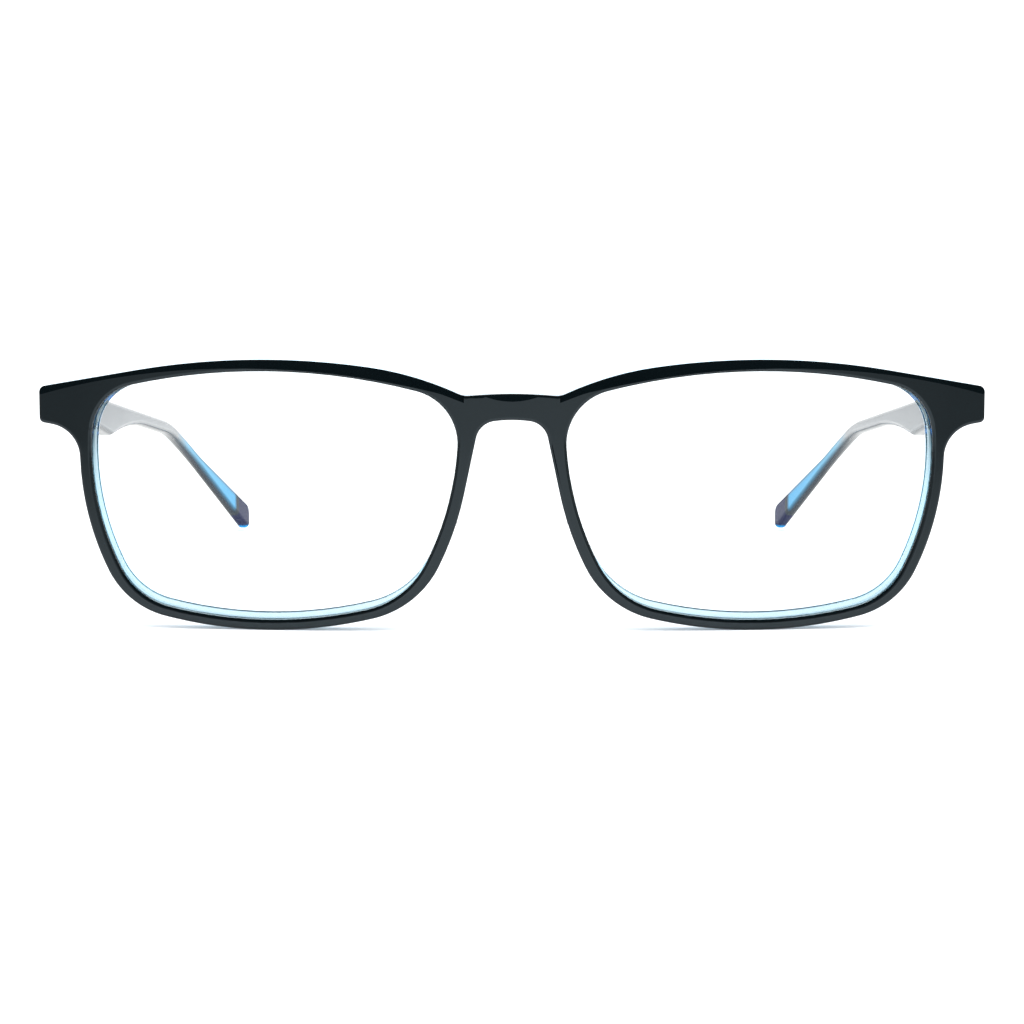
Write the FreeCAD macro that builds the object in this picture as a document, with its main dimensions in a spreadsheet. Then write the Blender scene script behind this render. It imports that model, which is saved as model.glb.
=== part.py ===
import FreeCAD, Part
import math
import os

import Sketcher
from FreeCAD import Vector

# Eyeglasses frame, millimetres. +Z up, the front looks along -Y, the temples run back along +Y.
# While a piece is drawn, y = 0 is the foremost face of the bridge; each finished piece is then
# placed so that the origin is the middle of the bottom of the whole object's box.

doc = FreeCAD.newDocument("eyeglasses_frame")

# ---------------------------------------------------------------- driving dimensions
DIMENSIONS = [
    ("overall_depth", 139.3, "bridge face to the ends of the ear parts"),
    ("half_width", 70.0, "half the width over the end pieces"),
    # laminations of the front
    ("black_layer", 1.6, "thickness of the black lamination of the front"),
    ("clear_layer", 2.6, "thickness of the clear blue lamination of the front"),
    ("face_radius", 560.0, "radius of each half of the bowed front, seen from above"),
    ("face_axis_offset", 17.0, "the bow's axis lies this far beyond the centre line"),
    ("bridge_half_flat", 5.8, "half width of the flat facet on the bridge"),
    ("bridge_blend", 90.0, "behind the face the flat runs into the bow with this radius"),
    ("end_back", 10.8, "back face of the end pieces"),
    ("lug_foot", 62.6, "where the end piece's thicker part starts"),
    # lens opening: four sides and four corners, all arcs
    ("top_centre_x", 36.6, "centre of the opening's upper side"),
    ("top_centre_z", -53.86, ""),
    ("top_radius", 92.0, ""),
    ("outer_centre_x", 24.1, "centre of the side next to the temple"),
    ("outer_centre_z", 26.14, ""),
    ("outer_radius", 38.07, ""),
    ("lower_centre_x", 35.9, "centre of the lower side"),
    ("lower_centre_z", 66.45, ""),
    ("lower_radius", 64.95, ""),
    ("nasal_centre_x", 51.75, "centre of the side next to the nose"),
    ("nasal_centre_z", 29.92, ""),
    ("nasal_radius", 43.85, ""),
    ("upper_outer_corner", 7.5, "corner radii of the opening"),
    ("lower_outer_corner", 10.9, ""),
    ("lower_nasal_corner", 13.0, ""),
    ("upper_nasal_corner", 7.9, ""),
    ("rim_outer", 1.8, "rim width next to the temple"),
    ("rim_nasal", 1.95, "rim width next to the nose"),
    ("rim_corner", 1.75, "rim width at the two lower corners"),
    ("lip", 0.5, "the clear layer stands this far into the opening next to the temple"),
    ("lower_lip", 0.85, "and this far along the lower side"),
    # brow line, bridge and end pieces
    ("bridge_top", 34.95, "height of the bridge's upper edge at the centre"),
    ("bridge_top_radius", 75.0, ""),
    ("bridge_notch", 3.0, "small hollow radius where the bridge meets the brow"),
    ("shoulder_radius", 48.0, "brow next to the bridge"),
    ("shoulder_end", 21.0, "where the shoulder runs into the long brow arc"),
    ("brow_centre_x", 36.5, ""),
    ("brow_top", 39.84, "highest point of the brow"),
    ("brow_radius", 112.0, ""),
    ("brow_fall", 9.8, "slope of the brow's straight run to the end piece, degrees"),
    ("end_corner", 0.8, "corner radius of the end pieces"),
    ("end_bottom", 30.5, "lower edge of the end piece at its tip"),
    ("end_bottom_slope", 10.0, "slope of that edge, degrees"),
    ("end_hollow", 5.0, "hollow radius between the end piece and the rim"),
    ("bridge_arch", 31.14, "height of the arch under the bridge"),
    ("bridge_arch_radius", 20.0, ""),
    ("bridge_arch_corner", 3.1, ""),
    ("bridge_side_slope", 78.0, "slope of the rim's edge beside the arch, degrees"),
    # sloping facet along the brow
    ("facet_centre_x", 27.75, "arc of the facet's lower edge, in the plane y = 0"),
    ("facet_top", 36.28, ""),
    ("facet_radius", 97.0, ""),
    ("facet_end", 7.0, "the facet stops this far beside the centre line"),
    ("facet_end_z", 33.6, "height of its lower edge there"),
    ("facet_end_slope", 18.0, "slope of that edge next to the bridge, degrees"),
    ("facet_end_blend", 12.0, "radius between that slope and the arc"),
    ("facet_rise", 1.25, "rise of every facet for each unit of depth"),
    ("bridge_facet_bottom", 33.85, "lowest point of the small facet above the bridge"),
    ("bridge_facet_radius", 11.0, ""),
    ("rim_edge_round", 0.45, "round on the front edges of the rims"),
    ("back_edge_round", 0.6, "round on the back edges of the front"),
    # lenses
    ("lens_thickness", 1.4, ""),
    ("lens_depth", 1.9, "lens front surface behind the face of the front"),
    ("bevel_depth", 0.6, "how far the lens's edge stands into the rim"),
    ("bevel_size", 0.65, "size of the edge's two chamfers"),
    ("lens_play", 0.03, "room around the bevel in its groove"),
    # temples, seen from the side
    ("temple_front", 10.85, "front end of the temples"),
    ("temple_top", 35.55, "height of the temple's upper edge at its front end"),
    ("temple_slope", 7.5, "fall of the straight part, degrees"),
    ("ear_slope", 25.2, "fall of the ear part, degrees"),
    ("ear_bend", 80.0, "radius of the bend between them, at the upper edge"),
    ("ear_point_y", 122.8, "a point on the ear part's upper edge"),
    ("ear_point_z", 12.69, ""),
    ("ear_height", 2.95, "thickness of the ear part at that point, seen from the side"),
    ("ear_flare", 5.06, "the ear part grows thicker by this angle, degrees"),
    ("blade_height", 5.15, "height of the blade next to the hinge"),
    ("blade_slope", 6.5, "fall of the lower edge behind the hinge, degrees"),
    ("blade_end", 41.2, "where the blade's lower edge turns up"),
    ("blade_end_height", 5.45, "height of the blade there"),
    ("blade_swell", 11.5, "slope of the lower edge just before the turn, degrees"),
    ("blade_swell_round", 12.0, ""),
    ("blade_turn", 3.4, "rise of the lower edge after the turn, degrees"),
    ("blade_turn_round", 3.5, ""),
    ("blade_sweep", 125.0, "radius of the lower edge from there to the slender part"),
    ("rod_height", 2.2, "height of the slender part"),
    ("tip_upper_round", 2.2, "corner radii at the end of the ear part, seen from the side"),
    ("tip_lower_round", 0.95, ""),
    # temples, seen from above
    ("inner_face_front", 66.06, "inner face at the temple's front end"),
    ("inner_slope", 2.87, "how the temples close in towards the back, degrees"),
    ("rod_width", 2.3, "sideways thickness of the slender part"),
    ("blade_taper", 4.7, "slope of the blade's outer face, degrees"),
    ("taper_round", 300.0, ""),
    ("ear_turn", 106.2, "where the temples turn inwards: the corner of the inner face's two straights"),
    ("ear_inward", 14.2, "slope of the ear part behind that, degrees"),
    ("ear_inward_radius", 100.0, "radius that rounds that corner"),
    ("temple_black", 1.05, "thickness of the temples' black lamination"),
    ("temple_round", 0.85, "edge radius of the temples"),
    ("tip_length", 6.5, "length of the dark tip"),
    # hinges
    ("hinge_x", 63.8, "hinge axis"),
    ("hinge_y", 12.9, ""),
    ("hinge_bottom", 30.3, "lowest face of the hinge"),
    ("knuckle_radius", 1.3, ""),
    ("knuckle_height", 0.8, ""),
    ("knuckle_gap", 0.03, "room between neighbouring knuckles"),
    ("screw_radius", 0.7, ""),
    ("screw_play", 0.02, ""),
    ("screw_head_radius", 1.15, ""),
    ("screw_head_height", 0.45, ""),
    ("screw_slot", 0.3, ""),
    ("plate_depth", 0.9, "thickness of the hinge plates"),
    ("plate_width", 4.2, "width of the plate in the end piece"),
    ("plate_length", 9.0, "length of the plate in the temple"),
    ("anchor_radius", 0.45, "studs that hold the plates in the plastic"),
    ("anchor_length", 1.0, ""),
    ("anchor_side", 0.84, "the studs stand this far outside the hinge axis"),
    ("anchor_spacing", 2.5, ""),
    ("hinge_clearance", 1.65, "radius the plates leave clear around the hinge axis"),
    # nose pads
    ("pad_length", 11.5, ""),
    ("pad_width", 4.6, "how far the pads stand behind the rims"),
    ("pad_thickness", 1.7, ""),
    ("pad_lean", 12.3, "lean of the pads in the front view, degrees"),
    ("pad_splay", 3.0, "splay of the pads seen from above, degrees"),
    ("pad_x", 7.9, "middle of a pad where it meets the rim"),
    ("pad_y", 3.6, ""),
    ("pad_z", 20.8, ""),
    ("pad_back_slope", -72.0, "heading of the pads' back edge, degrees"),
    ("pad_upper_round", 2.9, ""),
    ("pad_lower_round", 2.4, ""),
    ("pad_edge_round", 0.8, ""),
]

sheet = doc.addObject("Spreadsheet::Sheet", "dims")
for row, (alias, size, note) in enumerate(DIMENSIONS, start=1):
    sheet.set(f"A{row}", alias.replace("_", " "))
    sheet.set(f"B{row}", str(size))
    sheet.set(f"C{row}", note)
    sheet.setAlias(f"B{row}", alias)
doc.recompute()

REACH = 200.0  # longer than any piece, for cuts that pass right through
TO_ORIGIN = "-dims.overall_depth / 2"  # from y = 0 at the bridge's face to the object's middle


def number(formula):
    """The value of a formula written with the sheet's names."""
    return float(sheet.evalExpression(formula))


# ---------------------------------------------------------------- outlines
# An outline is a closed list of sides and joints. It is drawn with the solid on its right.

class Round:
    """An arc. Its centre is bound to the sheet, or found from its neighbour when at is given."""

    def __init__(self, radius, x=None, y=None, at=None, hollow=False):
        self.radius_formula = radius
        self.formulas = None if at else (x, y)
        self.radius = number(radius)
        self.centre = at or Vector(number(x), number(y), 0)
        self.turn = -1 if hollow else 1

    def shifted(self, right):
        return Part.Circle(self.centre, Vector(0, 0, 1), self.radius - self.turn * right)

    def touch(self, fillet_centre, right):
        return self.centre + (fillet_centre - self.centre).normalize() * self.radius


class Straight:
    """A line with a heading in degrees through a point bound to the sheet or given by at."""

    def __init__(self, heading, x=None, y=None, at=None):
        self.heading_formula = heading
        self.formulas = None if at else (x, y)
        self.point = at or Vector(number(x), number(y), 0)
        angle = math.radians(number(heading))
        self.along = Vector(math.cos(angle), math.sin(angle), 0)
        self.right = Vector(self.along.y, -self.along.x, 0)

    def shifted(self, right):
        start = self.point + self.right * right
        return Part.Line(start, start + self.along)

    def touch(self, fillet_centre, right):
        return fillet_centre - self.right * right


class Fillet:
    """A tangent arc between two sides; near picks the crossing when there are two."""

    def __init__(self, radius, hollow=False, near=None):
        self.radius_formula = radius
        self.radius = number(radius)
        self.turn = -1 if hollow else 1
        self.near = near


class Sharp:
    """A plain corner."""

    def __init__(self, near=None):
        self.near = near


class Smooth:
    """A tangent joint; x or y fixes where it is when neither neighbour does."""

    def __init__(self, at, x=None, y=None):
        self.at = at
        self.formulas = (x, y)


def crossing(first, second, near):
    """Where two shifted sides meet."""
    if isinstance(first, Part.Line) and isinstance(second, Part.Line):
        across = second.Direction.cross(Vector(0, 0, 1))
        share = (second.Location - first.Location).dot(across) / first.Direction.dot(across)
        return first.Location + first.Direction * share
    points = [Vector(p.X, p.Y, 0) for p in first.intersectCC(second)]
    if near is None:
        return points[0]
    return min(points, key=lambda point: point.distanceToPoint(Vector(near[0], near[1], 0)))


def add_arc(sketch, centre, radius, start, end, turn):
    """Adds an arc travelled from start to end; returns its number and its two end names."""
    angles = [math.atan2(p.y - centre.y, p.x - centre.x) for p in (start, end)]
    first, last = (angles[1], angles[0]) if turn > 0 else angles
    circle = Part.Circle(centre, Vector(0, 0, 1), radius)
    index = sketch.addGeometry(Part.ArcOfCircle(circle, first, last), False)
    return (index, 2, 1) if turn > 0 else (index, 1, 2)


def bind(sketch, kind, places, formula):
    """A dimension held by a formula."""
    value = number(formula)
    if kind == "Angle":
        value = math.radians(value)
        formula = f"({formula}) * 1 deg"
    row = sketch.addConstraint(Sketcher.Constraint(kind, *places, value))
    sketch.setExpression(f"Constraints[{row}]", formula)


def bind_point(sketch, geometry, end, formulas):
    for kind, formula in zip(("DistanceX", "DistanceY"), formulas):
        if formula is not None:
            bind(sketch, kind, (-1, 1, geometry, end), formula)


def draw(sketch, steps):
    """Draws a closed outline from alternating sides and joints."""
    sides = steps[0::2]
    joints = steps[1::2]
    count = len(sides)
    # where each joint starts and ends
    places = []
    for i, joint in enumerate(joints):
        before, after = sides[i], sides[(i + 1) % count]
        if isinstance(joint, Fillet):
            right = joint.turn * joint.radius
            centre = crossing(before.shifted(right), after.shifted(right), joint.near)
            places.append((before.touch(centre, right), after.touch(centre, right), centre))
        elif isinstance(joint, Sharp):
            corner = crossing(before.shifted(0), after.shifted(0), joint.near)
            places.append((corner, corner, None))
        else:
            places.append((joint.at, joint.at, None))
    # geometry, in the order it is travelled
    travelled = []
    for i, side in enumerate(sides):
        start, end = places[i - 1][1], places[i][0]
        if isinstance(side, Round):
            ends = add_arc(sketch, side.centre, side.radius, start, end, side.turn)
        else:
            ends = (sketch.addGeometry(Part.LineSegment(start, end), False), 1, 2)
        travelled.append((side, ends))
        joint = joints[i]
        if isinstance(joint, Fillet):
            first, last, centre = places[i]
            ends = add_arc(sketch, centre, joint.radius, first, last, joint.turn)
            travelled.append((joint, ends))
        else:
            travelled.append((joint, None))
    # joints
    for i in range(0, len(travelled), 2):
        (_, one), (joint, middle), (_, two) = (travelled[(i + k) % len(travelled)] for k in range(3))
        if middle:
            sketch.addConstraint(Sketcher.Constraint("Tangent", one[0], one[2], middle[0], middle[1]))
            sketch.addConstraint(Sketcher.Constraint("Tangent", middle[0], middle[2], two[0], two[1]))
            bind(sketch, "Radius", (middle[0],), joint.radius_formula)
        elif isinstance(joint, Sharp):
            sketch.addConstraint(Sketcher.Constraint("Coincident", one[0], one[2], two[0], two[1]))
        else:
            sketch.addConstraint(Sketcher.Constraint("Tangent", one[0], one[2], two[0], two[1]))
            bind_point(sketch, one[0], one[2], joint.formulas)
    # sides
    for side, ends in travelled[0::2]:
        if isinstance(side, Round):
            bind(sketch, "Radius", (ends[0],), side.radius_formula)
            if side.formulas:
                bind_point(sketch, ends[0], 3, side.formulas)
            continue
        heading = number(side.heading_formula) % 180
        if heading == 0:
            sketch.addConstraint(Sketcher.Constraint("Horizontal", ends[0]))
        elif heading == 90:
            sketch.addConstraint(Sketcher.Constraint("Vertical", ends[0]))
        else:
            bind(sketch, "Angle", (ends[0],), side.heading_formula)
        if side.formulas:
            point = sketch.addGeometry(Part.Point(side.point), True)
            bind_point(sketch, point, 1, side.formulas)
            sketch.addConstraint(Sketcher.Constraint("PointOnObject", point, 1, ends[0]))


def draw_box(sketch, x_low, x_high, y_low, y_high):
    """A rectangle given by four formulas."""
    draw(sketch, [
        Straight("0", x_low, y_high), Sharp(),
        Straight("-90", x_high, y_high), Sharp(),
        Straight("180", x_high, y_low), Sharp(),
        Straight("90", x_low, y_low), Sharp(),
    ])


# ---------------------------------------------------------------- bodies
def new_body(name):
    body = doc.addObject("PartDesign::Body", name)
    body.Label = name
    body.setExpression("Placement.Base.y", TO_ORIGIN)
    return body


def origin_plane(body, role):
    return [f for f in body.Origin.OriginFeatures if f.Role == role][0]


def new_sketch(body, name, role):
    sketch = body.newObject("Sketcher::SketchObject", f"{body.Name}_{name}")
    sketch.AttachmentSupport = [(origin_plane(body, role), "")]
    sketch.MapMode = "FlatFace"
    return sketch


def pad(body, sketch, length, backwards=False):
    feature = body.newObject("PartDesign::Pad", f"{sketch.Name}_pad")
    feature.Profile = sketch
    feature.setExpression("Length", length)
    feature.Reversed = backwards
    return feature


def cut_through(body, sketch):
    """A pocket that passes right through on both sides of its sketch."""
    feature = body.newObject("PartDesign::Pocket", f"{sketch.Name}_cut")
    feature.Profile = sketch
    feature.Midplane = True
    feature.Length = 2 * REACH
    return feature


def mirrored(body, features):
    feature = body.newObject("PartDesign::Mirrored", f"{body.Name}_mirrored")
    feature.Originals = features
    feature.MirrorPlane = (origin_plane(body, "YZ_Plane"), [""])
    body.Tip = feature
    return feature


def round_edges(body, base, names, radius):
    feature = body.newObject("PartDesign::Fillet", f"{body.Name}_round")
    feature.Base = (base, names)
    feature.setExpression("Radius", radius)
    body.Tip = feature
    return feature


# ---------------------------------------------------------------- the front's outlines
def opening(spread, side_lip="0", lower_lip="0"):
    """The lens opening of the right eye, grown all round, less a lip outside and one below."""
    outside = f"({spread}) - ({side_lip})"
    below = f"({spread}) - ({lower_lip})"
    return [
        Round(f"dims.top_radius + {spread}", "dims.top_centre_x", "dims.top_centre_z"),
        Fillet(f"dims.upper_outer_corner + {spread}", near=(54, 29)),
        Round(f"dims.outer_radius + {outside}", "dims.outer_centre_x", "dims.outer_centre_z"),
        Fillet(f"dims.lower_outer_corner + {outside}", near=(49, 15)),
        Round(f"dims.lower_radius + {below}", "dims.lower_centre_x", "dims.lower_centre_z"),
        Fillet(f"dims.lower_nasal_corner + {spread}", near=(24, 15)),
        Round(f"dims.nasal_radius + {spread}", "dims.nasal_centre_x", "dims.nasal_centre_z"),
        Fillet(f"dims.upper_nasal_corner + {spread}", near=(17, 29)),
    ]


def brow_arc():
    """Centre of the long brow arc, and where the straight run to the end piece leaves it."""
    centre = Vector(number("dims.brow_centre_x"), number("dims.brow_top - dims.brow_radius"), 0)
    fall = math.radians(number("dims.brow_fall"))
    return centre, centre + Vector(math.sin(fall), math.cos(fall), 0) * number("dims.brow_radius")


def end_piece_sides(brow_run):
    """The brow's straight run, the outer side and the lower side of the right end piece."""
    return [
        brow_run,
        Fillet("dims.end_corner"),
        Straight("-90", "dims.half_width", "dims.end_bottom"),
        Fillet("dims.end_corner"),
        Straight("180 + dims.end_bottom_slope", "dims.half_width", "dims.end_bottom"),
    ]


def front_outline():
    """The right half of the front's outline, from the top of the bridge round to its arch."""
    brow_centre, run_start = brow_arc()
    brow_radius = number("dims.brow_radius")
    # the shoulder touches the brow arc from inside
    shoulder_end = Vector(number("dims.shoulder_end"), 0, 0)
    shoulder_end.y = brow_centre.y + math.sqrt(brow_radius ** 2 - (shoulder_end.x - brow_centre.x) ** 2)
    inward = (brow_centre - shoulder_end).normalize()
    shoulder_centre = shoulder_end + inward * number("dims.shoulder_radius")
    # the edge beside the arch leaves the nasal side where that side has its slope
    slope = math.radians(number("dims.bridge_side_slope"))
    nasal_centre = Vector(number("dims.nasal_centre_x"), number("dims.nasal_centre_z"), 0)
    nasal_reach = number("dims.nasal_radius + dims.rim_nasal")
    side_start = nasal_centre - Vector(math.sin(slope), math.cos(slope), 0) * nasal_reach
    return [
        Round("dims.bridge_top_radius", "0", "dims.bridge_top - dims.bridge_top_radius"),
        Fillet("dims.bridge_notch", hollow=True, near=(6, 38)),
        Round("dims.shoulder_radius", at=shoulder_centre),
        Smooth(shoulder_end, x="dims.shoulder_end"),
        Round("dims.brow_radius", "dims.brow_centre_x", "dims.brow_top - dims.brow_radius"),
        Smooth(run_start),
        *end_piece_sides(Straight("-dims.brow_fall", at=run_start)),
        Fillet("dims.end_hollow", hollow=True, near=(67, 26)),
        Round("dims.outer_radius + dims.rim_outer", "dims.outer_centre_x", "dims.outer_centre_z"),
        Fillet("dims.lower_outer_corner + dims.rim_corner", near=(49, 15)),
        Round("dims.lower_centre_z", "dims.lower_centre_x", "dims.lower_centre_z"),
        Fillet("dims.lower_nasal_corner + dims.rim_corner", near=(24, 15)),
        Round("dims.nasal_radius + dims.rim_nasal", "dims.nasal_centre_x", "dims.nasal_centre_z"),
        Smooth(side_start),
        Straight("180 - dims.bridge_side_slope", at=side_start),
        Fillet("dims.bridge_arch_corner", hollow=True, near=(3, 28.5)),
        Round("dims.bridge_arch_radius", "0", "dims.bridge_arch - dims.bridge_arch_radius", hollow=True),
        Sharp(near=(0, 31)),
        Straight("90", "0", "0"),
        Sharp(near=(0, 35)),
    ]


def lug_outline():
    """The thicker part of the right end piece."""
    run_x = "dims.brow_centre_x + dims.brow_radius * sin(dims.brow_fall)"
    run_z = "dims.brow_top - dims.brow_radius * (1 - cos(dims.brow_fall))"
    return [
        *end_piece_sides(Straight("-dims.brow_fall", run_x, run_z)), Sharp(),
        Straight("90", "dims.lug_foot", "0"), Sharp(),
    ]


FACE_AXIS_Y = "sqrt(dims.face_radius^2 - (dims.bridge_half_flat + dims.face_axis_offset)^2)"


def face(depth, hollow=False):
    """The bowed surface of the right half at a depth behind the front's face, from above."""
    return Round(f"dims.face_radius - ({depth})", "-dims.face_axis_offset", FACE_AXIS_Y, hollow=hollow)


def cut_before(body, name, depth):
    """Removes what lies in front of the bowed surface at a depth; the bridge stays flat."""
    sketch = new_sketch(body, name, "XY_Plane")
    crease = Sharp(near=(6, 0)) if depth == "0" else Fillet("dims.bridge_blend", near=(5.8, 90))
    draw(sketch, [
        face(depth), crease,
        Straight("180", "0", depth), Sharp(),
        Straight("-90", "0", "0"), Sharp(),
        Straight("0", "0", "-5"), Sharp(),
        Straight("90", "dims.half_width + 5", "0"), Sharp(near=(75, 9)),
    ])
    return cut_through(body, sketch)


def cut_behind(body, name, depth):
    """Removes what lies behind the bowed surface at a depth."""
    sketch = new_sketch(body, name, "XY_Plane")
    draw(sketch, [
        face(depth, hollow=True), Sharp(near=(75, 9)),
        Straight("90", "dims.half_width + 5", "0"), Sharp(),
        Straight("180", "0", "30"), Sharp(),
        Straight("-90", "0", "0"), Sharp(),
        Straight("0", "0", depth), Fillet("dims.bridge_blend", hollow=True, near=(5.8, 90)),
    ])
    return cut_through(body, sketch)


def wall_edges(shape, faces_forward):
    """Names of the edges between the walls of the outline and the front or back surface."""
    names = []
    for index, edge in enumerate(shape.Edges, start=1):
        middle = edge.valueAt((edge.FirstParameter + edge.LastParameter) / 2)
        lean = []
        for neighbour in shape.ancestorsOfType(edge, Part.Face):
            lean.append(neighbour.normalAt(*neighbour.Surface.parameter(middle)).y)
        if len(lean) != 2 or min(abs(y) for y in lean) > 0.02:
            continue
        steepest = min(lean) if faces_forward else -max(lean)
        if steepest < -0.9:
            names.append(f"Edge{index}")
    return names


def sloping_cut(body, sketch):
    """Cuts a facet that faces up and forwards, through the front edge of the black layer."""
    feature = cut_through(body, sketch)
    feature.UseCustomVector = True
    feature.Direction = Vector(0, 1, number("dims.facet_rise"))
    feature.setExpression("Direction.z", "dims.facet_rise")
    return feature


def front_outer_layer():
    """The black lamination: both rims, the bridge and the end pieces in one piece."""
    body = new_body("front_outer_layer")
    outline = new_sketch(body, "outline", "XZ_Plane")
    draw(outline, front_outline())
    sheet_pad = pad(body, outline, "dims.end_back", backwards=True)
    hole = new_sketch(body, "opening", "XZ_Plane")
    draw(hole, opening("0"))
    features = [
        sheet_pad,
        cut_through(body, hole),
        cut_before(body, "face", "0"),
        cut_behind(body, "back", "dims.black_layer"),
    ]
    whole = mirrored(body, features)
    doc.recompute()
    round_edges(body, whole, wall_edges(whole.Shape, True), "dims.rim_edge_round")
    # the small facet above the bridge, then the long one along each brow
    bridge_facet = new_sketch(body, "bridge_facet", "XZ_Plane")
    draw_circle(bridge_facet, "0", "dims.bridge_facet_bottom + dims.bridge_facet_radius",
                "dims.bridge_facet_radius")
    sloping_cut(body, bridge_facet)
    facet = new_sketch(body, "facet", "XZ_Plane")
    draw(facet, [
        Straight("dims.facet_end_slope", "dims.facet_end", "dims.facet_end_z"),
        Fillet("dims.facet_end_blend", near=(11, 35)),
        Round("dims.facet_radius", "dims.facet_centre_x", "dims.facet_top - dims.facet_radius"),
        Sharp(near=(75, 28)),
        Straight("90", "dims.half_width + 5", "0"), Sharp(),
        Straight("180", "0", "60"), Sharp(),
        Straight("-90", "dims.facet_end", "dims.facet_end_z"), Sharp(),
    ])
    mirrored(body, [sloping_cut(body, facet)])
    return body


def front_clear_blank():
    """The clear blue lamination before the lens grooves and hinge recesses are cut."""
    body = new_body("front_clear_blank")
    outline = new_sketch(body, "outline", "XZ_Plane")
    draw(outline, front_outline())
    sheet_pad = pad(body, outline, "dims.end_back", backwards=True)
    hole = new_sketch(body, "opening", "XZ_Plane")
    draw(hole, opening("0", "dims.lip", "dims.lower_lip"))
    features = [
        sheet_pad,
        cut_through(body, hole),
        cut_before(body, "face", "dims.black_layer"),
        cut_behind(body, "back", "dims.black_layer + dims.clear_layer"),
    ]
    whole = mirrored(body, features)
    doc.recompute()
    round_edges(body, whole, wall_edges(whole.Shape, False), "dims.back_edge_round")
    # the thicker end piece, flat behind for the hinge
    lug = new_sketch(body, "lug", "XZ_Plane")
    draw(lug, lug_outline())
    lug_pad = pad(body, lug, "dims.end_back", backwards=True)
    lug_cut = cut_before(body, "lug_face", "dims.black_layer")
    mirrored(body, [lug_pad, lug_cut])
    return body


def lens_shape(name, play):
    """A right lens, or with some play its cavity: two bowed faces and an edge bevel."""
    body = new_body(name)
    outline = new_sketch(body, "outline", "XZ_Plane")
    draw(outline, opening(f"dims.bevel_depth + {play}"))
    blank = pad(body, outline, "dims.end_back", backwards=True)
    cut_before(body, "face", f"dims.lens_depth - {play}")
    back = cut_behind(body, "back", f"dims.lens_depth + dims.lens_thickness + {play}")
    doc.recompute()
    bevel = body.newObject("PartDesign::Chamfer", f"{name}_bevel")
    bevel.Base = (back, wall_edges(back.Shape, True) + wall_edges(back.Shape, False))
    bevel.setExpression("Size", f"dims.bevel_size + {play}")
    body.Tip = bevel
    return body


# ---------------------------------------------------------------- temples
BLADE_END_HEIGHT = (
    "dims.temple_top - (dims.blade_end - dims.temple_front) * tan(dims.temple_slope)"
    " - dims.blade_end_height / cos(dims.temple_slope)"
)


def temple_side():
    """The right temple's outline seen from the side: x is the depth, y the height."""
    ear_height = "dims.ear_height / cos(dims.ear_slope)"
    blade_drop = "dims.blade_height / cos(dims.temple_slope)"
    return [
        Straight("-dims.temple_slope", "dims.temple_front", "dims.temple_top"),
        Fillet("dims.ear_bend"),
        Straight("-dims.ear_slope", "dims.ear_point_y", "dims.ear_point_z"),
        Fillet("dims.tip_upper_round"),
        Straight("-90", "dims.overall_depth", "0"),
        Fillet("dims.tip_lower_round"),
        Straight("180 - dims.ear_slope - dims.ear_flare", "dims.ear_point_y",
                 f"dims.ear_point_z - {ear_height}"),
        Fillet("dims.ear_bend - dims.rod_height", hollow=True),
        Straight("180 - dims.temple_slope", "dims.temple_front",
                 "dims.temple_top - dims.rod_height"),
        Fillet("dims.blade_sweep", hollow=True),
        Straight("180 + dims.blade_turn", "dims.blade_end", BLADE_END_HEIGHT),
        Fillet("dims.blade_turn_round"),
        Straight("180 - dims.blade_swell", "dims.blade_end", BLADE_END_HEIGHT),
        Fillet("dims.blade_swell_round", hollow=True),
        Straight("180 - dims.blade_slope", "dims.temple_front",
                 f"dims.temple_top - {blade_drop}"), Sharp(),
        Straight("90", "dims.temple_front", "0"), Sharp(),
    ]


TURN_X = (
    "(dims.inner_face_front - (dims.ear_turn - dims.temple_front) * tan(dims.inner_slope))"
)


def turn_point(out, slope):
    """The inner face's corner, moved out at right angles to one of the two straights there."""
    return f"{TURN_X} + ({out}) * cos({slope})", f"dims.ear_turn + ({out}) * sin({slope})"


def blade_point(depth):
    """A point of the blade's outer face at the temple's front end, at a depth below it."""
    x = f"dims.half_width - ({depth}) * cos(dims.blade_taper)"
    y = f"dims.temple_front - ({depth}) * sin(dims.blade_taper)"
    return x, y


def inner_face_side():
    """The inner face travelled backwards, seen from above."""
    return [
        Straight("90 + dims.inner_slope", *turn_point("0", "dims.inner_slope")),
        Fillet("dims.ear_inward_radius", hollow=True),
        Straight("90 + dims.ear_inward", *turn_point("0", "dims.ear_inward")), Sharp(),
    ]


def outer_face_side(depth):
    """The outer face, or a surface at a depth below it, travelled backwards."""
    out = f"dims.rod_width - ({depth})"
    return [
        Straight("90 + dims.blade_taper", *blade_point(depth)),
        Fillet("dims.taper_round"),
        Straight("90 + dims.inner_slope", *turn_point(out, "dims.inner_slope")),
        Fillet(f"dims.ear_inward_radius + {out}", hollow=True),
        Straight("90 + dims.ear_inward", *turn_point(out, "dims.ear_inward")), Sharp(),
    ]


def outer_face_side_forwards(depth):
    """The same surface travelled forwards."""
    out = f"dims.rod_width - ({depth})"
    return [
        Straight("-90 + dims.ear_inward", *turn_point(out, "dims.ear_inward")),
        Fillet(f"dims.ear_inward_radius + {out}"),
        Straight("-90 + dims.inner_slope", *turn_point(out, "dims.inner_slope")),
        Fillet("dims.taper_round", hollow=True),
        Straight("-90 + dims.blade_taper", *blade_point(depth)), Sharp(),
    ]


def temple_strip(name, back_side, front_side):
    """A tall slab between two surfaces of the temple, seen from above."""
    body = new_body(name)
    plan = new_sketch(body, "plan", "XY_Plane")
    draw(plan, [
        *back_side,
        Straight("0", "0", "dims.overall_depth + 5"), Sharp(),
        *front_side,
        Straight("180", "0", "dims.temple_front"), Sharp(),
    ])
    pad(body, plan, "dims.temple_top + 5")
    return body


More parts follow.
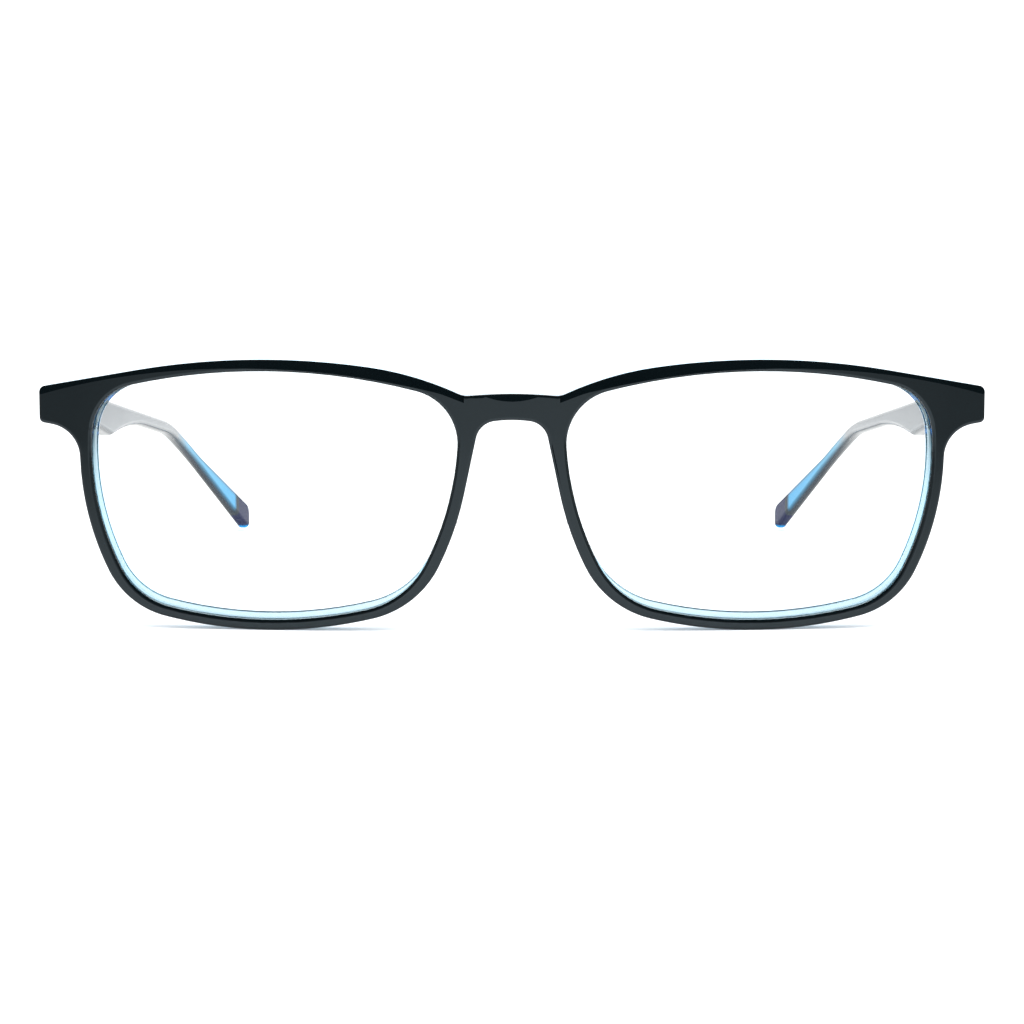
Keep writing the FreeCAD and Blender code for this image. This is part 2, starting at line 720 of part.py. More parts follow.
# ---------------------------------------------------------------- booleans
def boolean(kind, name, base, tools):
    """Part's Cut or Common of a base with one or more tools, one after the other."""
    result = base
    for index, tool in enumerate(tools):
        last = index == len(tools) - 1
        feature = doc.addObject(kind, name if last else f"{name}_step_{index + 1}")
        feature.Base = result
        feature.Tool = tool
        result = feature
    result.Label = name
    return result


def cut(name, base, *tools):
    return boolean("Part::Cut", name, base, tools)


def common(name, base, tool):
    return boolean("Part::Common", name, base, [tool])


def left_of(right_piece):
    """The left piece, mirrored from the right one."""
    feature = doc.addObject("Part::Mirroring", right_piece.Name.replace("_right", "_left"))
    feature.Label = feature.Name
    feature.Source = right_piece
    feature.Normal = Vector(1, 0, 0)
    return feature


def side_edges(shape):
    """Numbers of the edges where a bar's sides meet its upper, lower and rear surfaces."""
    found = []
    for index, edge in enumerate(shape.Edges, start=1):
        middle = edge.valueAt((edge.FirstParameter + edge.LastParameter) / 2)
        sideways = []
        forwards = []
        for neighbour in shape.ancestorsOfType(edge, Part.Face):
            normal = neighbour.normalAt(*neighbour.Surface.parameter(middle))
            sideways.append(abs(normal.x))
            forwards.append(-normal.y)
        faces_side_and_rim = max(sideways) > 0.9 and min(sideways) < 0.2
        if faces_side_and_rim and max(forwards) < 0.9:
            found.append(index)
    return found


def rounded_temple():
    """The right temple as one rounded bar, before it is parted into its laminations."""
    side_body = new_body("temple_side_view")
    side = new_sketch(side_body, "side", "YZ_Plane")
    draw(side, temple_side())
    pad(side_body, side, "dims.half_width + 5")
    whole = temple_strip("temple_plan_view", inner_face_side(), outer_face_side_forwards("0"))
    bar = common("temple_bar", side_body, whole)
    doc.recompute()
    radius = number("dims.temple_round")
    edges = [(index, radius, radius) for index in side_edges(bar.Shape)]
    rounded = doc.addObject("Part::Fillet", "temple_rounded")
    rounded.Base = bar
    rounded.Edges = edges
    return rounded


# ---------------------------------------------------------------- hinges
KNUCKLE_PITCH = "(dims.knuckle_height + dims.knuckle_gap)"
HINGE_HEIGHT = "(5 * dims.knuckle_height + 4 * dims.knuckle_gap)"
HINGE_TOP = f"(dims.hinge_bottom + {HINGE_HEIGHT})"
BEYOND = "dims.plate_width"  # from the hinge axis to clear of every knuckle


def raised_sketch(body, name, height):
    """A sketch lying flat at a height."""
    sketch = new_sketch(body, name, "XY_Plane")
    sketch.setExpression("AttachmentOffset.Base.z", height)
    return sketch


def draw_circle(sketch, x, y, radius):
    centre = Vector(number(x), number(y), 0)
    circle = Part.Circle(centre, Vector(0, 0, 1), number(radius))
    index = sketch.addGeometry(circle, False)
    bind_point(sketch, index, 3, (x, y))
    bind(sketch, "Radius", (index,), radius)


def pin_hole(body):
    sketch = new_sketch(body, "pin_hole", "XY_Plane")
    draw_circle(sketch, "dims.hinge_x", "dims.hinge_y", "dims.screw_radius + dims.screw_play")
    return cut_through(body, sketch)


def knuckle_slot(body, level, x_low, x_high, y_low):
    """Room for one knuckle of the other leaf; the levels count up from the lowest knuckle."""
    sketch = raised_sketch(
        body, f"slot_{level}", f"dims.hinge_bottom + {level} * {KNUCKLE_PITCH} - dims.knuckle_gap")
    draw_box(sketch, x_low, x_high, y_low, f"dims.hinge_y + {BEYOND}")
    feature = body.newObject("PartDesign::Pocket", f"{sketch.Name}_cut")
    feature.Profile = sketch
    feature.Reversed = True
    feature.setExpression("Length", "dims.knuckle_height + 2 * dims.knuckle_gap")
    return feature


def anchors(body, name, role, offset, places, length):
    """Round studs behind a plate, on a plane at an offset; they hold it in the plastic."""
    sketch = new_sketch(body, name, role)
    sketch.setExpression("AttachmentOffset.Base.z", offset)
    for x, y in places:
        draw_circle(sketch, x, y, "dims.anchor_radius")
    return pad(body, sketch, length)


def front_hinge_leaf():
    """Three knuckles on a plate sunk flush in the back of the right end piece."""
    body = new_body("front_hinge_leaf_right")
    plate = raised_sketch(body, "plate", "dims.hinge_bottom")
    draw_box(plate, "dims.hinge_x - dims.knuckle_radius",
             "dims.hinge_x - dims.knuckle_radius + dims.plate_width",
             "dims.end_back - dims.plate_depth", "dims.end_back")
    pad(body, plate, HINGE_HEIGHT)
    barrel = raised_sketch(body, "barrel", "dims.hinge_bottom")
    axis = Vector(number("dims.hinge_x"), number("dims.hinge_y"), 0)
    reach = Vector(number("dims.knuckle_radius"), 0, 0)
    draw(barrel, [
        Straight("90", at=axis - reach), Smooth(axis - reach),
        Round("dims.knuckle_radius", "dims.hinge_x", "dims.hinge_y"), Smooth(axis + reach),
        Straight("-90", at=axis + reach), Sharp(),
        Straight("180", "0", "dims.end_back - dims.plate_depth / 2"), Sharp(),
    ])
    pad(body, barrel, HINGE_HEIGHT)
    # the XZ plane looks along -Y, so its offset runs forwards
    middle = f"dims.hinge_bottom + {HINGE_HEIGHT} / 2"
    anchors(body, "anchors", "XZ_Plane", "-(dims.end_back - dims.plate_depth)",
            [("dims.hinge_x + dims.anchor_side", middle + " - dims.anchor_spacing / 2"),
             ("dims.hinge_x + dims.anchor_side", middle + " + dims.anchor_spacing / 2")],
            "dims.anchor_length")
    for level in (1, 3):
        knuckle_slot(body, level, f"dims.hinge_x - {BEYOND}", f"dims.hinge_x + {BEYOND}",
                     "dims.hinge_y - dims.hinge_clearance")
    body.Tip = pin_hole(body)
    return body


def temple_hinge_leaf():
    """Two knuckles on a plate sunk flush in the inner face of the right temple."""
    body = new_body("temple_hinge_leaf_right")
    slope = math.radians(number("dims.inner_slope"))
    start_y = "dims.hinge_y - dims.knuckle_radius"
    face_x = f"(dims.inner_face_front - ({start_y} - dims.temple_front) * tan(dims.inner_slope))"
    face_start = Vector(number(face_x), number(start_y), 0)
    plate = raised_sketch(body, "plate", "dims.hinge_bottom")
    draw(plate, [
        Straight("90 + dims.inner_slope", face_x, start_y), Sharp(),
        Straight("dims.inner_slope", f"{face_x} - dims.plate_length * sin(dims.inner_slope)",
                 f"{start_y} + dims.plate_length * cos(dims.inner_slope)"), Sharp(),
        Straight("-90 + dims.inner_slope", f"{face_x} + dims.plate_depth * cos(dims.inner_slope)",
                 f"{start_y} + dims.plate_depth * sin(dims.inner_slope)"), Sharp(),
        Straight("180 + dims.inner_slope", face_x, start_y), Sharp(),
    ])
    pad(body, plate, HINGE_HEIGHT)
    barrel = raised_sketch(body, "barrel", "dims.hinge_bottom")
    axis = Vector(number("dims.hinge_x"), number("dims.hinge_y"), 0)
    reach = Vector(0, number("dims.knuckle_radius"), 0)
    draw(barrel, [
        Round("dims.knuckle_radius", "dims.hinge_x", "dims.hinge_y"), Smooth(axis + reach),
        Straight("0", at=axis + reach), Sharp(),
        Straight("-90", f"{face_x} + dims.plate_depth / 2", "0"), Sharp(),
        Straight("180", at=axis - reach), Smooth(axis - reach),
    ])
    pad(body, barrel, HINGE_HEIGHT)
    for level in (0, 2, 4):
        knuckle_slot(body, level, f"dims.hinge_x - {BEYOND}", "dims.hinge_x + dims.hinge_clearance",
                     f"dims.hinge_y - {BEYOND}")
    body.Tip = pin_hole(body)
    return body


def place(feature, x, y, z):
    """Binds a primitive's corner or axis, given as drawn, to its place in the object."""
    feature.setExpression("Placement.Base.x", x)
    feature.setExpression("Placement.Base.y", f"{y} + ({TO_ORIGIN})")
    feature.setExpression("Placement.Base.z", z)
    return feature


def cylinder(name, radius, height, x, y, z):
    feature = doc.addObject("Part::Cylinder", name)
    feature.setExpression("Radius", radius)
    feature.setExpression("Height", height)
    return place(feature, x, y, z)


def block(name, length, width, height, x, y, z):
    feature = doc.addObject("Part::Box", name)
    feature.setExpression("Length", length)
    feature.setExpression("Width", width)
    feature.setExpression("Height", height)
    return place(feature, x, y, z)


def hinge_screw():
    """A slotted screw down through the five knuckles of the right hinge."""
    shank = cylinder("screw_shank", "dims.screw_radius", HINGE_HEIGHT,
                     "dims.hinge_x", "dims.hinge_y", "dims.hinge_bottom")
    head = cylinder("screw_head", "dims.screw_head_radius", "dims.screw_head_height",
                    "dims.hinge_x", "dims.hinge_y", HINGE_TOP)
    slot = block("screw_slot_tool", "4 * dims.screw_head_radius", "dims.screw_slot",
                 "dims.screw_head_height", "dims.hinge_x - 2 * dims.screw_head_radius",
                 "dims.hinge_y - dims.screw_slot / 2", f"{HINGE_TOP} + dims.screw_head_height / 2")
    whole = doc.addObject("Part::Fuse", "screw_whole")
    whole.Base = shank
    whole.Tool = head
    return cut("hinge_screw_right", whole, slot)


# ---------------------------------------------------------------- nose pads
def nose_pad(clear_blank):
    """A clear pad bonded behind the nasal side of the right rim."""
    body = new_body("pad_blank")
    side = new_sketch(body, "side", "YZ_Plane")
    half = "dims.pad_length / 2"
    draw(side, [
        Straight("90", "0", "0"), Sharp(),
        Straight("0", "0", half),
        Fillet("dims.pad_upper_round"),
        Straight("dims.pad_back_slope", "dims.pad_width", "0"),
        Fillet("dims.pad_lower_round"),
        Straight("180", "0", f"-({half})"), Sharp(),
    ])
    thick = pad(body, side, "dims.pad_thickness")
    thick.Midplane = True
    doc.recompute()
    names = [f"Edge{index}" for index in side_edges(thick.Shape)
             if thick.Shape.Edges[index - 1].CenterOfMass.y > 0.01]
    round_edges(body, thick, names, "dims.pad_edge_round")
    turn = FreeCAD.Rotation(-number("dims.pad_splay"), -number("dims.pad_lean"), 0)
    body.Placement = FreeCAD.Placement(Vector(0, 0, 0), turn)
    body.setExpression("Placement.Base.x", "dims.pad_x")
    body.setExpression("Placement.Base.y", f"dims.pad_y + ({TO_ORIGIN})")
    body.setExpression("Placement.Base.z", "dims.pad_z")
    return cut("nose_pad_right", body, clear_blank)


# ---------------------------------------------------------------- the whole object
def build():
    """Every node of the object."""
    outer = front_outer_layer()
    blank = front_clear_blank()
    lens = lens_shape("lens_right", "0")
    cavity = lens_shape("lens_cavity_right", "dims.lens_play")
    front_leaf = front_hinge_leaf()
    temple_leaf = temple_hinge_leaf()
    screw = hinge_screw()
    inner = cut("front_inner_layer", blank, cavity, left_of(cavity), front_leaf, left_of(front_leaf))
    nose = nose_pad(blank)

    bar = rounded_temple()
    black_strip = temple_strip(
        "temple_black_strip",
        outer_face_side("dims.temple_black"), outer_face_side_forwards("-1"))
    tip_box = block("tip_box", "dims.half_width + 5", "dims.tip_length + 5", "dims.temple_top",
                    "0", "dims.overall_depth - dims.tip_length", "-1")
    black_bar = common("temple_black_bar", bar, black_strip)
    temple_outer = cut("temple_outer_layer_right", black_bar, tip_box)
    temple_inner = cut("temple_inner_layer_right", bar, black_strip, tip_box, temple_leaf)
    tip = common("temple_tip_right", bar, tip_box)

    rights = [lens, front_leaf, temple_leaf, screw, nose, temple_outer, temple_inner, tip]
    lefts = [doc.getObject(r.Name.replace("_right", "_left")) or left_of(r) for r in rights]
    return [outer, inner] + rights + lefts


nodes = build()
doc.recompute()
for item in doc.Objects:
    if "Invalid" in item.State or "Error" in item.State:
        raise RuntimeError(f"{item.Name} did not rebuild: {item.State}")
os.makedirs("parts", exist_ok=True)
for node in nodes:
    if node.Shape.isNull() or not node.Shape.isValid():
        raise RuntimeError(f"{node.Label} has no valid shape")
    node.Shape.exportStep(f"parts/{node.Label}.step")
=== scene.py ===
"""The looks of an eyeglasses frame: laminated plastic, clear lenses and small metal hinges."""

import math

import bpy
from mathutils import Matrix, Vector


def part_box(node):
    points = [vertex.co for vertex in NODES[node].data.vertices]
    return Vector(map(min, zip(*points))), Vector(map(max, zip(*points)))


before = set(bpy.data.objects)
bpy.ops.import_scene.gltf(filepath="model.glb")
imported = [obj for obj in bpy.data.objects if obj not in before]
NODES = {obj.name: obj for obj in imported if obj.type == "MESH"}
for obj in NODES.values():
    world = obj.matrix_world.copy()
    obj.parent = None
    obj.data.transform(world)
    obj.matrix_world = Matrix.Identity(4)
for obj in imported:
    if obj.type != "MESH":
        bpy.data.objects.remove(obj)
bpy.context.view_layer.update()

MM = 0.001
SIDES = ("right", "left")

# places on a temple, whose length runs along Y
BLADE_END = -28 * MM  # the broad blade ends here
EAR_START = 27 * MM  # the inner face starts to turn blue here
EAR_END = 62 * MM  # and the blue ends here
EAR_FALL = 0.4706  # fall of the ear part's upper edge for each unit of length
EAR_EDGE_AT_CENTRE = 37.7 * MM  # height of that edge's line where Y is 0

ACETATE_IOR = 1.49
SILICONE_IOR = 1.41

# hairline scratches left by polishing
SCRATCH_WIDTH = 0.4 * MM
SCRATCH_STRETCH = (1.0, 0.12, 1.0)
SCRATCH_DEPTH = 0.02  # as a share of the waves' depth

# bevel on the metal parts
EDGE_BREAK = 0.06 * MM
SHARP_ANGLE = math.radians(40)

# the studio, in metres and watts
WHITE = 1.3  # brightness of the surroundings
FLOOR_REACH = 3.0  # from the middle to each side
LAMP_PLACE = (0.3, -0.4, 1.2)
LAMP_SIZE = 1.0
LAMP_WATTS = 8.0

# the camera: lens and sensor in millimetres, places in metres
LENS_LENGTH = 87.12
SENSOR_WIDTH = 36.0
CAMERA_DISTANCE = 0.36  # before the front's outer face
CAMERA_HEIGHT = 0.0543
CAMERA_PITCH = math.radians(5.798)  # downwards


# ---------------------------------------------------------------- node helpers
class Shader:
    """The node tree of a new material or world, with short calls to add and join its nodes."""

    def __init__(self, name, for_world=False):
        kind = bpy.data.worlds if for_world else bpy.data.materials
        self.owner = kind.new(name)
        self.owner.use_nodes = True
        self.tree = self.owner.node_tree
        self.tree.nodes.clear()
        self.output = self.add("ShaderNodeOutputWorld" if for_world else "ShaderNodeOutputMaterial")
        coordinates = self.add("ShaderNodeTexCoord")
        self.place = coordinates.outputs["Object"]
        self.normal = coordinates.outputs["Normal"]
        self.direction = coordinates.outputs["Generated"]

    def add(self, kind, settings=None, **inputs):
        """A new node; settings are its properties, and each keyword is one of its inputs."""
        node = self.tree.nodes.new(kind)
        for key, value in (settings or {}).items():
            setattr(node, key, value)
        for key, value in inputs.items():
            self.give(node.inputs[key.replace("_", " ")], value)
        return node

    def give(self, socket, value):
        """Joins an output to this input, or sets the input's value; a colour gets its alpha here."""
        if isinstance(value, bpy.types.NodeSocket):
            self.tree.links.new(value, socket)
        elif socket.type == "RGBA":
            socket.default_value = (*value, 1.0)
        else:
            socket.default_value = value

    def finish(self, surface):
        """Joins the last shader to the output, and returns the finished material or world."""
        self.tree.links.new(surface, self.output.inputs["Surface"])
        return self.owner

    def part(self, vector, axis):
        """One coordinate of a vector."""
        return self.add("ShaderNodeSeparateXYZ", Vector=vector).outputs[axis]

    def facing(self, axis):
        """How far the surface faces one way, in the piece's own axes; -1 to 1."""
        return self.part(self.normal, axis)

    def where(self, axis):
        """One coordinate of the surface, in the piece's own axes."""
        return self.part(self.place, axis)

    def glancing(self):
        """0 where the surface is looked at squarely, 1 where it is seen edge on."""
        return self.add("ShaderNodeLayerWeight").outputs["Facing"]

    def noise(self, size, detail=3.0, stretch=None):
        """Noise whose features are about this size in metres; 0 to 1."""
        place = self.place
        if stretch:
            place = self.add("ShaderNodeMapping", Vector=place, Scale=stretch).outputs["Vector"]
        node = self.add("ShaderNodeTexNoise", Vector=place, Scale=1.0 / size, Detail=detail)
        return node.outputs["Fac"]

    def ramp(self, value, low, high, to_low=0.0, to_high=1.0):
        """Maps a value's range on to another, cut off at both ends."""
        node = self.add("ShaderNodeMapRange", Value=value, From_Min=low, From_Max=high,
                        To_Min=to_low, To_Max=to_high)
        return node.outputs["Result"]

    def math(self, operation, *values):
        """The result of one arithmetic step."""
        node = self.add("ShaderNodeMath", {"operation": operation})
        for socket, value in zip(node.inputs, values):
            self.give(socket, value)
        return node.outputs[0]

    def mix_colour(self, share, first, second):
        """From the first colour to the second as the share goes from 0 to 1."""
        node = self.add("ShaderNodeMix", {"data_type": "RGBA"})
        # the sockets before these belong to the node's number and vector forms
        self.give(node.inputs[0], share)
        self.give(node.inputs[6], first)
        self.give(node.inputs[7], second)
        return node.outputs[2]

    def mix_shader(self, share, first, second):
        """From the first shader to the second as the share goes from 0 to 1."""
        node = self.add("ShaderNodeMixShader")
        self.give(node.inputs[0], share)
        self.tree.links.new(first, node.inputs[1])
        self.tree.links.new(second, node.inputs[2])
        return node.outputs[0]

    def add_shader(self, first, second):
        """The light of both shaders together."""
        node = self.add("ShaderNodeAddShader")
        self.tree.links.new(first, node.inputs[0])
        self.tree.links.new(second, node.inputs[1])
        return node.outputs[0]

    def bump(self, height, depth):
        """A bump of this depth in metres."""
        return self.add("ShaderNodeBump", Strength=1.0, Distance=depth, Height=height).outputs["Normal"]

    def polish(self, waves, depth, smooth, rough):
        """The normal and roughness of a hand-polished surface: waves, scratches and uneven gloss."""
        grain = self.noise(SCRATCH_WIDTH, 2.0, SCRATCH_STRETCH)
        scratches = self.ramp(grain, 0.66, 0.72)
        height = self.math("SUBTRACT", self.noise(waves, 2.0),
                           self.math("MULTIPLY", scratches, SCRATCH_DEPTH))
        roughness = self.ramp(self.noise(4 * MM, 4.0), 0.35, 0.7, smooth, rough)
        return self.bump(height, depth), roughness


# ---------------------------------------------------------------- materials
def black_acetate():
    """Deep black sheet, a little blue-green, polished to a gloss."""
    shader = Shader("black_acetate")
    normal, roughness = shader.polish(waves=9 * MM, depth=0.01 * MM, smooth=0.035, rough=0.07)
    colour = shader.mix_colour(shader.noise(12 * MM), (0.0008, 0.0022, 0.003), (0.002, 0.0042, 0.005))
    surface = shader.add("ShaderNodeBsdfPrincipled", Base_Color=colour, Roughness=roughness,
                         IOR=ACETATE_IOR, Normal=normal, Specular_Tint=(0.83, 1.0, 1.1))
    return shader.finish(surface.outputs[0])


def clear_blue_acetate():
    """Clear crystal sheet whose body takes out red light, so that it looks bluer where it is deeper."""
    shader = Shader("clear_blue_acetate")
    normal, roughness = shader.polish(waves=7 * MM, depth=0.008 * MM, smooth=0.0, rough=0.05)
    clear = shader.add("ShaderNodeBsdfPrincipled", Base_Color=(1.0, 1.0, 1.0), Roughness=roughness,
                       IOR=ACETATE_IOR, Normal=normal, Transmission_Weight=1.0)
    # a painted sheen: a glow seen only by the camera, stronger towards the edge-on view, stands in for
    # the white studio's reflection, which the dark overhead of the reflections would leave out
    seen = shader.add("ShaderNodeLightPath").outputs["Is Camera Ray"]
    mirror_share = shader.add("ShaderNodeFresnel", IOR=ACETATE_IOR).outputs[0]
    painted_sheen = shader.add("ShaderNodeEmission", Color=(0.45, 0.8, 1.0),
                       Strength=shader.math("MULTIPLY", seen, mirror_share))
    body = shader.add("ShaderNodeVolumeAbsorption", Color=(0.0, 0.67, 0.93), Density=360.0)
    shader.tree.links.new(body.outputs[0], shader.output.inputs["Volume"])
    return shader.finish(shader.add_shader(clear.outputs[0], painted_sheen.outputs[0]))


def blade_colour(shader, cloud):
    """Painted reflection grey where the face is seen edge on, with painted shade on the lower edge
    where it faces down; looked at squarely, the black sheet shows through.
    """
    # painted reflection: grey stands in for the studio seen at a grazing angle
    painted_reflection_grey = shader.mix_colour(cloud, (0.31, 0.325, 0.34), (0.38, 0.395, 0.41))
    # painted shade where the surface faces down
    painted_lit_above_edge = shader.ramp(shader.facing("Z"), -0.75, -0.2)
    with_painted_shade_edge = shader.mix_colour(painted_lit_above_edge, (0.1, 0.105, 0.11), painted_reflection_grey)
    through = shader.mix_colour(cloud, (0.012, 0.04, 0.06), (0.02, 0.06, 0.085))
    return shader.mix_colour(shader.ramp(shader.glancing(), 0.55, 0.85), through, with_painted_shade_edge)


def ear_colour(shader, cloud, along):
    """A painted band of light low on the inner face, where light carried in the clear sheet shows, with
    painted shade below it where the surface faces down, and bluish grey above.
    """
    # painted light above the edge, painted shade where the surface faces down
    painted_lit_above_edge = shader.ramp(shader.facing("Z"), -0.85, -0.1)
    before_tip = shader.ramp(along, EAR_END - 1.2 * MM, EAR_END, 1.0, 0.0)
    lit_share = shader.math("MULTIPLY", painted_lit_above_edge, before_tip)
    upper_edge = shader.math("MULTIPLY_ADD", along, -EAR_FALL, EAR_EDGE_AT_CENTRE)
    below_upper_edge = shader.math("SUBTRACT", upper_edge, shader.where("Z"))
    towards_tip = shader.ramp(along, EAR_START, EAR_END)
    # painted light: the band stands in for light carried in the clear sheet
    painted_band_light = shader.mix_colour(towards_tip, (0.26, 0.54, 0.72), (0.09, 0.38, 0.66))
    pale = shader.mix_colour(towards_tip, (0.17, 0.35, 0.43), (0.13, 0.17, 0.24))
    band = shader.mix_colour(shader.ramp(below_upper_edge, 0.6 * MM, 1.4 * MM), pale, painted_band_light)
    band = shader.mix_colour(shader.ramp(shader.glancing(), 0.2, 0.58), (0.03, 0.16, 0.26), band)
    shade = shader.mix_colour(cloud, (0.026, 0.036, 0.048), (0.04, 0.052, 0.066))
    return shader.mix_colour(lit_share, shade, band)


def backed_crystal():
    """The clear sheet on a temple, as it looks against the black one behind it, with painted
    reflection, painted light and painted shade in its colour.
    """
    shader = Shader("backed_crystal")
    normal, roughness = shader.polish(waves=7 * MM, depth=0.008 * MM, smooth=0.02, rough=0.06)
    cloud = shader.noise(9 * MM)
    along = shader.where("Y")
    past_bend = shader.ramp(along, EAR_START, EAR_START + 9 * MM)
    colour = shader.mix_colour(past_bend, blade_colour(shader, cloud), ear_colour(shader, cloud, along))
    # the ear part and the underside behind the blade show least of the polish
    behind_blade = shader.ramp(along, BLADE_END, BLADE_END + 10 * MM)
    faces_down = shader.ramp(shader.facing("Z"), -0.7, -0.2, 1.0, 0.0)
    matt = shader.math("MAXIMUM", past_bend, shader.math("MULTIPLY", faces_down, behind_blade))
    surface = shader.add("ShaderNodeBsdfPrincipled", Base_Color=colour, Roughness=roughness,
                         IOR=ACETATE_IOR, Normal=normal,
                         Specular_IOR_Level=shader.ramp(matt, 0.0, 1.0, 0.5, 0.1))
    return shader.finish(surface.outputs[0])


def dark_tip():
    """The ear end, dyed a deep navy and painted paler where it faces up; a painted glow at its lowest
    edge stands in for light carried down the ear part.
    """
    shader = Shader("dark_tip")
    normal, roughness = shader.polish(waves=5 * MM, depth=0.008 * MM, smooth=0.05, rough=0.1)
    deep = shader.mix_colour(shader.noise(6 * MM), (0.010, 0.013, 0.055), (0.016, 0.02, 0.075))
    # painted highlight: paler where the surface faces up
    painted_lit_upper = shader.mix_colour(shader.noise(3 * MM), (0.026, 0.032, 0.08), (0.036, 0.042, 0.095))
    colour = shader.mix_colour(shader.ramp(shader.facing("Z"), -0.6, 0.3), deep, painted_lit_upper)
    # painted glow at the lowest edge
    glow = shader.ramp(shader.where("Z"), 0.8 * MM, 1.3 * MM, 1.0, 0.0)
    colour = shader.mix_colour(glow, colour, (0.02, 0.42, 0.95))
    surface = shader.add("ShaderNodeBsdfPrincipled", Base_Color=colour, Roughness=roughness,
                         IOR=ACETATE_IOR, Normal=normal, Specular_IOR_Level=0.1)
    return shader.finish(surface.outputs[0])


def lens_clear():
    """A thin clear sheet with a coating that reflects a trace of green, and a few smudges."""
    shader = Shader("lens_clear")
    smudges = shader.ramp(shader.noise(14 * MM, 5.0), 0.5, 0.75)
    through = shader.add("ShaderNodeBsdfTransparent", Color=(0.985, 0.993, 0.995))
    coating = shader.mix_colour(shader.noise(30 * MM), (0.75, 1.0, 0.85), (0.7, 0.8, 1.0))
    reflected = shader.add("ShaderNodeBsdfGlossy", Color=coating,
                           Roughness=shader.ramp(smudges, 0.0, 1.0, 0.02, 0.12))
    # a mirror's share that rises steeply towards the edge-on view
    steep = shader.math("POWER", shader.glancing(), 5.0)
    mirror_share = shader.math("MULTIPLY_ADD", steep, 0.6, 0.008)
    return shader.finish(shader.mix_shader(mirror_share, through.outputs[0], reflected.outputs[0]))


def clear_pad():
    """Soft clear nose pad, slightly frosted."""
    shader = Shader("clear_pad")
    frost = shader.ramp(shader.noise(1.5 * MM, 4.0), 0.4, 0.7, 0.08, 0.22)
    normal = shader.bump(shader.noise(0.5 * MM), 0.005 * MM)
    colour = shader.mix_colour(shader.noise(5 * MM), (0.93, 0.98, 1.0), (0.85, 0.95, 0.98))
    surface = shader.add("ShaderNodeBsdfPrincipled", Base_Color=colour, Roughness=frost,
                         IOR=SILICONE_IOR, Normal=normal, Transmission_Weight=0.9)
    return shader.finish(surface.outputs[0])


def hinge_metal():
    """Nickel silver, brushed, with faint tarnish."""
    shader = Shader("hinge_metal")
    brushing = shader.noise(0.25 * MM, 3.0, (1.0, 1.0, 0.1))
    tarnish = shader.ramp(shader.noise(1.2 * MM, 4.0), 0.45, 0.75)
    colour = shader.mix_colour(tarnish, (0.66, 0.64, 0.6), (0.42, 0.4, 0.37))
    roughness = shader.ramp(brushing, 0.3, 0.7, 0.22, 0.4)
    surface = shader.add("ShaderNodeBsdfPrincipled", Base_Color=colour, Roughness=roughness,
                         Metallic=1.0, Normal=shader.bump(brushing, 0.01 * MM))
    return shader.finish(surface.outputs[0])


# ---------------------------------------------------------------- carried CAD nodes
def dress(node, material):
    """Gives a carried CAD node its material, and returns its object."""
    piece = NODES[node]
    piece.data.materials.clear()
    piece.data.materials.append(material)
    return piece


def soften(piece):
    """A small bevel on the sharp edges, as a tumbled metal part has."""
    bevel = piece.modifiers.new("edge_break", "BEVEL")
    bevel.width = EDGE_BREAK
    bevel.segments = 2
    bevel.limit_method = "ANGLE"
    bevel.angle_limit = SHARP_ANGLE
    bevel.harden_normals = True


black = black_acetate()
crystal = clear_blue_acetate()
backed = backed_crystal()
navy = dark_tip()
lens = lens_clear()
silicone = clear_pad()
metal = hinge_metal()

dress("front_outer_layer", black)
dress("front_inner_layer", crystal)
for side in SIDES:
    dress(f"temple_outer_layer_{side}", black)
    dress(f"temple_inner_layer_{side}", backed)
    dress(f"temple_tip_{side}", navy)
    dress(f"lens_{side}", lens)
    dress(f"nose_pad_{side}", silicone)
    for metal_part in ("front_hinge_leaf", "temple_hinge_leaf", "hinge_screw"):
        soften(dress(f"{metal_part}_{side}", metal))


# ---------------------------------------------------------------- floor, light and camera
def floor_material():
    """Near white; in reflections it is painted greyer far away, and more so to the sides."""
    shader = Shader("pale_floor")
    pale = shader.mix_colour(shader.noise(0.3), (0.93, 0.94, 0.95), (0.96, 0.965, 0.97))
    distance = shader.add("ShaderNodeVectorMath", {"operation": "LENGTH"})
    shader.give(distance.inputs[0], shader.place)
    far = shader.ramp(distance.outputs["Value"], 0.1, 0.5)
    incoming = shader.add("ShaderNodeNewGeometry").outputs["Incoming"]
    across = shader.math("ABSOLUTE", shader.part(incoming, "X"))
    aside = shader.math("MULTIPLY", far, shader.ramp(across, 0.25, 0.45))
    # painted shade in reflections: glossy rays see the floor greyer far away and to the sides
    painted_reflection_grey = shader.mix_colour(far, (0.85, 0.85, 0.85), (0.58, 0.58, 0.58))
    painted_reflection_grey = shader.mix_colour(aside, painted_reflection_grey, (0.28, 0.28, 0.28))
    rays = shader.add("ShaderNodeLightPath")
    colour = shader.mix_colour(rays.outputs["Is Glossy Ray"], pale, painted_reflection_grey)
    matt = shader.add("ShaderNodeBsdfDiffuse", Color=colour)
    # a little light of its own, seen only by the camera, softens the shadows
    lift = shader.add("ShaderNodeEmission", Color=(0.8, 0.9, 1.0),
                      Strength=shader.math("MULTIPLY", rays.outputs["Is Camera Ray"], 0.3))
    return shader.finish(shader.add_shader(matt.outputs[0], lift.outputs[0]))


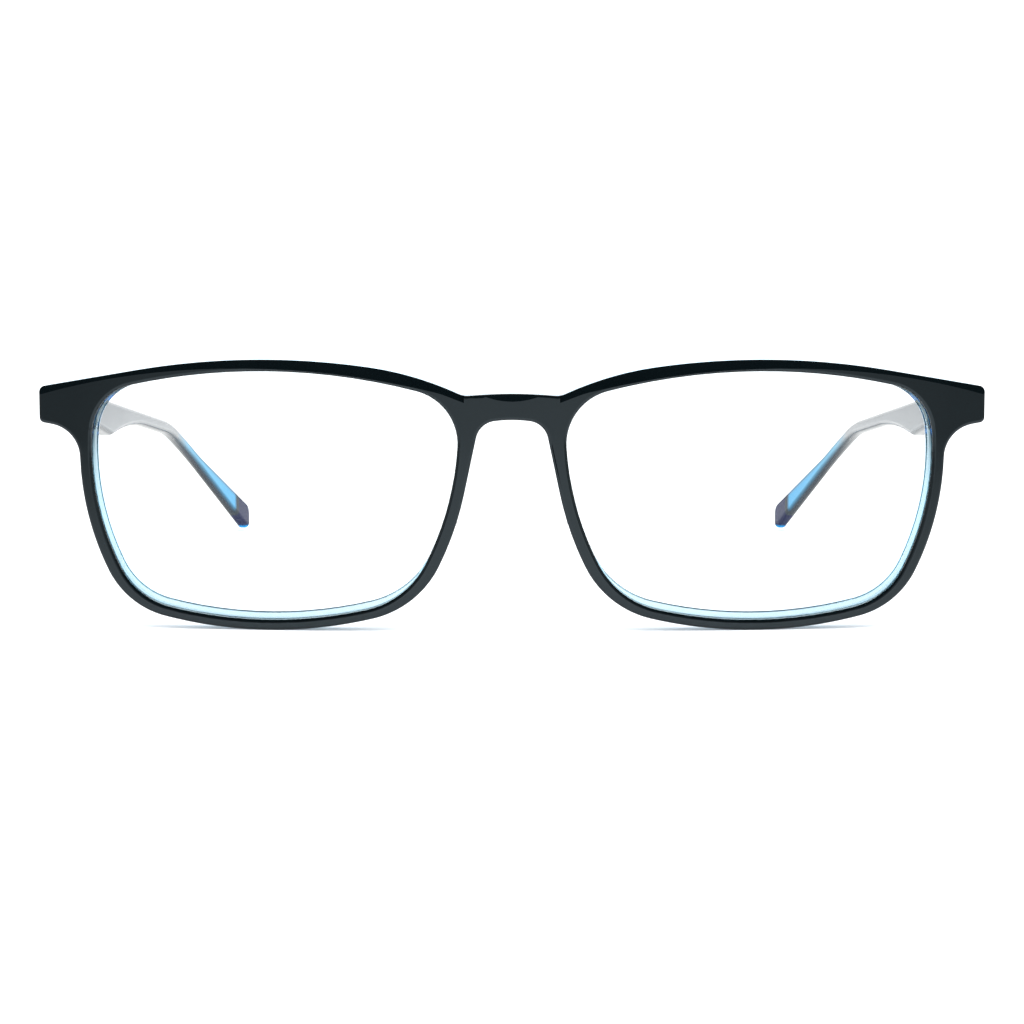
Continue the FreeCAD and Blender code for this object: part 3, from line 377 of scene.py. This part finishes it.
def pale_floor():
    """A wide square under the object."""
    mesh = bpy.data.meshes.new("floor")
    turns = ((-1, -1), (1, -1), (1, 1), (-1, 1))
    corners = [(x * FLOOR_REACH, y * FLOOR_REACH, 0) for x, y in turns]
    mesh.from_pydata(corners, [], [(0, 1, 2, 3)])
    mesh.materials.append(floor_material())
    floor = bpy.data.objects.new("floor", mesh)
    bpy.context.scene.collection.objects.link(floor)


def studio_world():
    """White all round; in reflections white at eye level, greyer to the sides and dark overhead."""
    shader = Shader("studio", for_world=True)
    overhead = shader.ramp(shader.part(shader.direction, "Z"), 0.15, 0.6)
    sideways = shader.ramp(shader.math("ABSOLUTE", shader.part(shader.direction, "X")), 0.1, 0.36)
    level = shader.mix_colour(sideways, (1.0, 1.0, 1.0), (0.5, 0.5, 0.5))
    reflected = shader.mix_colour(overhead, level, (0.03, 0.03, 0.035))
    in_reflection = shader.add("ShaderNodeLightPath").outputs["Is Glossy Ray"]
    colour = shader.mix_colour(in_reflection, (1.0, 1.0, 1.0), reflected)
    strength = shader.ramp(in_reflection, 0.0, 1.0, WHITE, 1.0)
    background = shader.add("ShaderNodeBackground", Color=colour, Strength=strength)
    bpy.context.scene.world = shader.finish(background.outputs[0])


def soft_box():
    """A square light aimed at the object, which doesn't show in reflections."""
    light = bpy.data.lights.new("key", "AREA")
    light.shape = "SQUARE"
    light.size = LAMP_SIZE
    light.energy = LAMP_WATTS
    lamp = bpy.data.objects.new("key", light)
    lamp.location = LAMP_PLACE
    lamp.rotation_euler = (-Vector(LAMP_PLACE)).to_track_quat("-Z", "Y").to_euler()
    lamp.visible_glossy = False
    bpy.context.scene.collection.objects.link(lamp)


def photo_camera():
    """A long lens a little above the table, looking down at the front."""
    camera = bpy.data.objects.new("camera", bpy.data.cameras.new("camera"))
    front_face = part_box("front_outer_layer")[0].y
    camera.data.lens = LENS_LENGTH
    camera.data.sensor_width = SENSOR_WIDTH
    camera.location = (0.0, front_face - CAMERA_DISTANCE, CAMERA_HEIGHT)
    camera.rotation_euler = (math.pi / 2 - CAMERA_PITCH, 0.0, 0.0)
    bpy.context.scene.collection.objects.link(camera)
    bpy.context.scene.camera = camera


pale_floor()
studio_world()
soft_box()
photo_camera()
bpy.context.scene.view_settings.view_transform = "Standard"
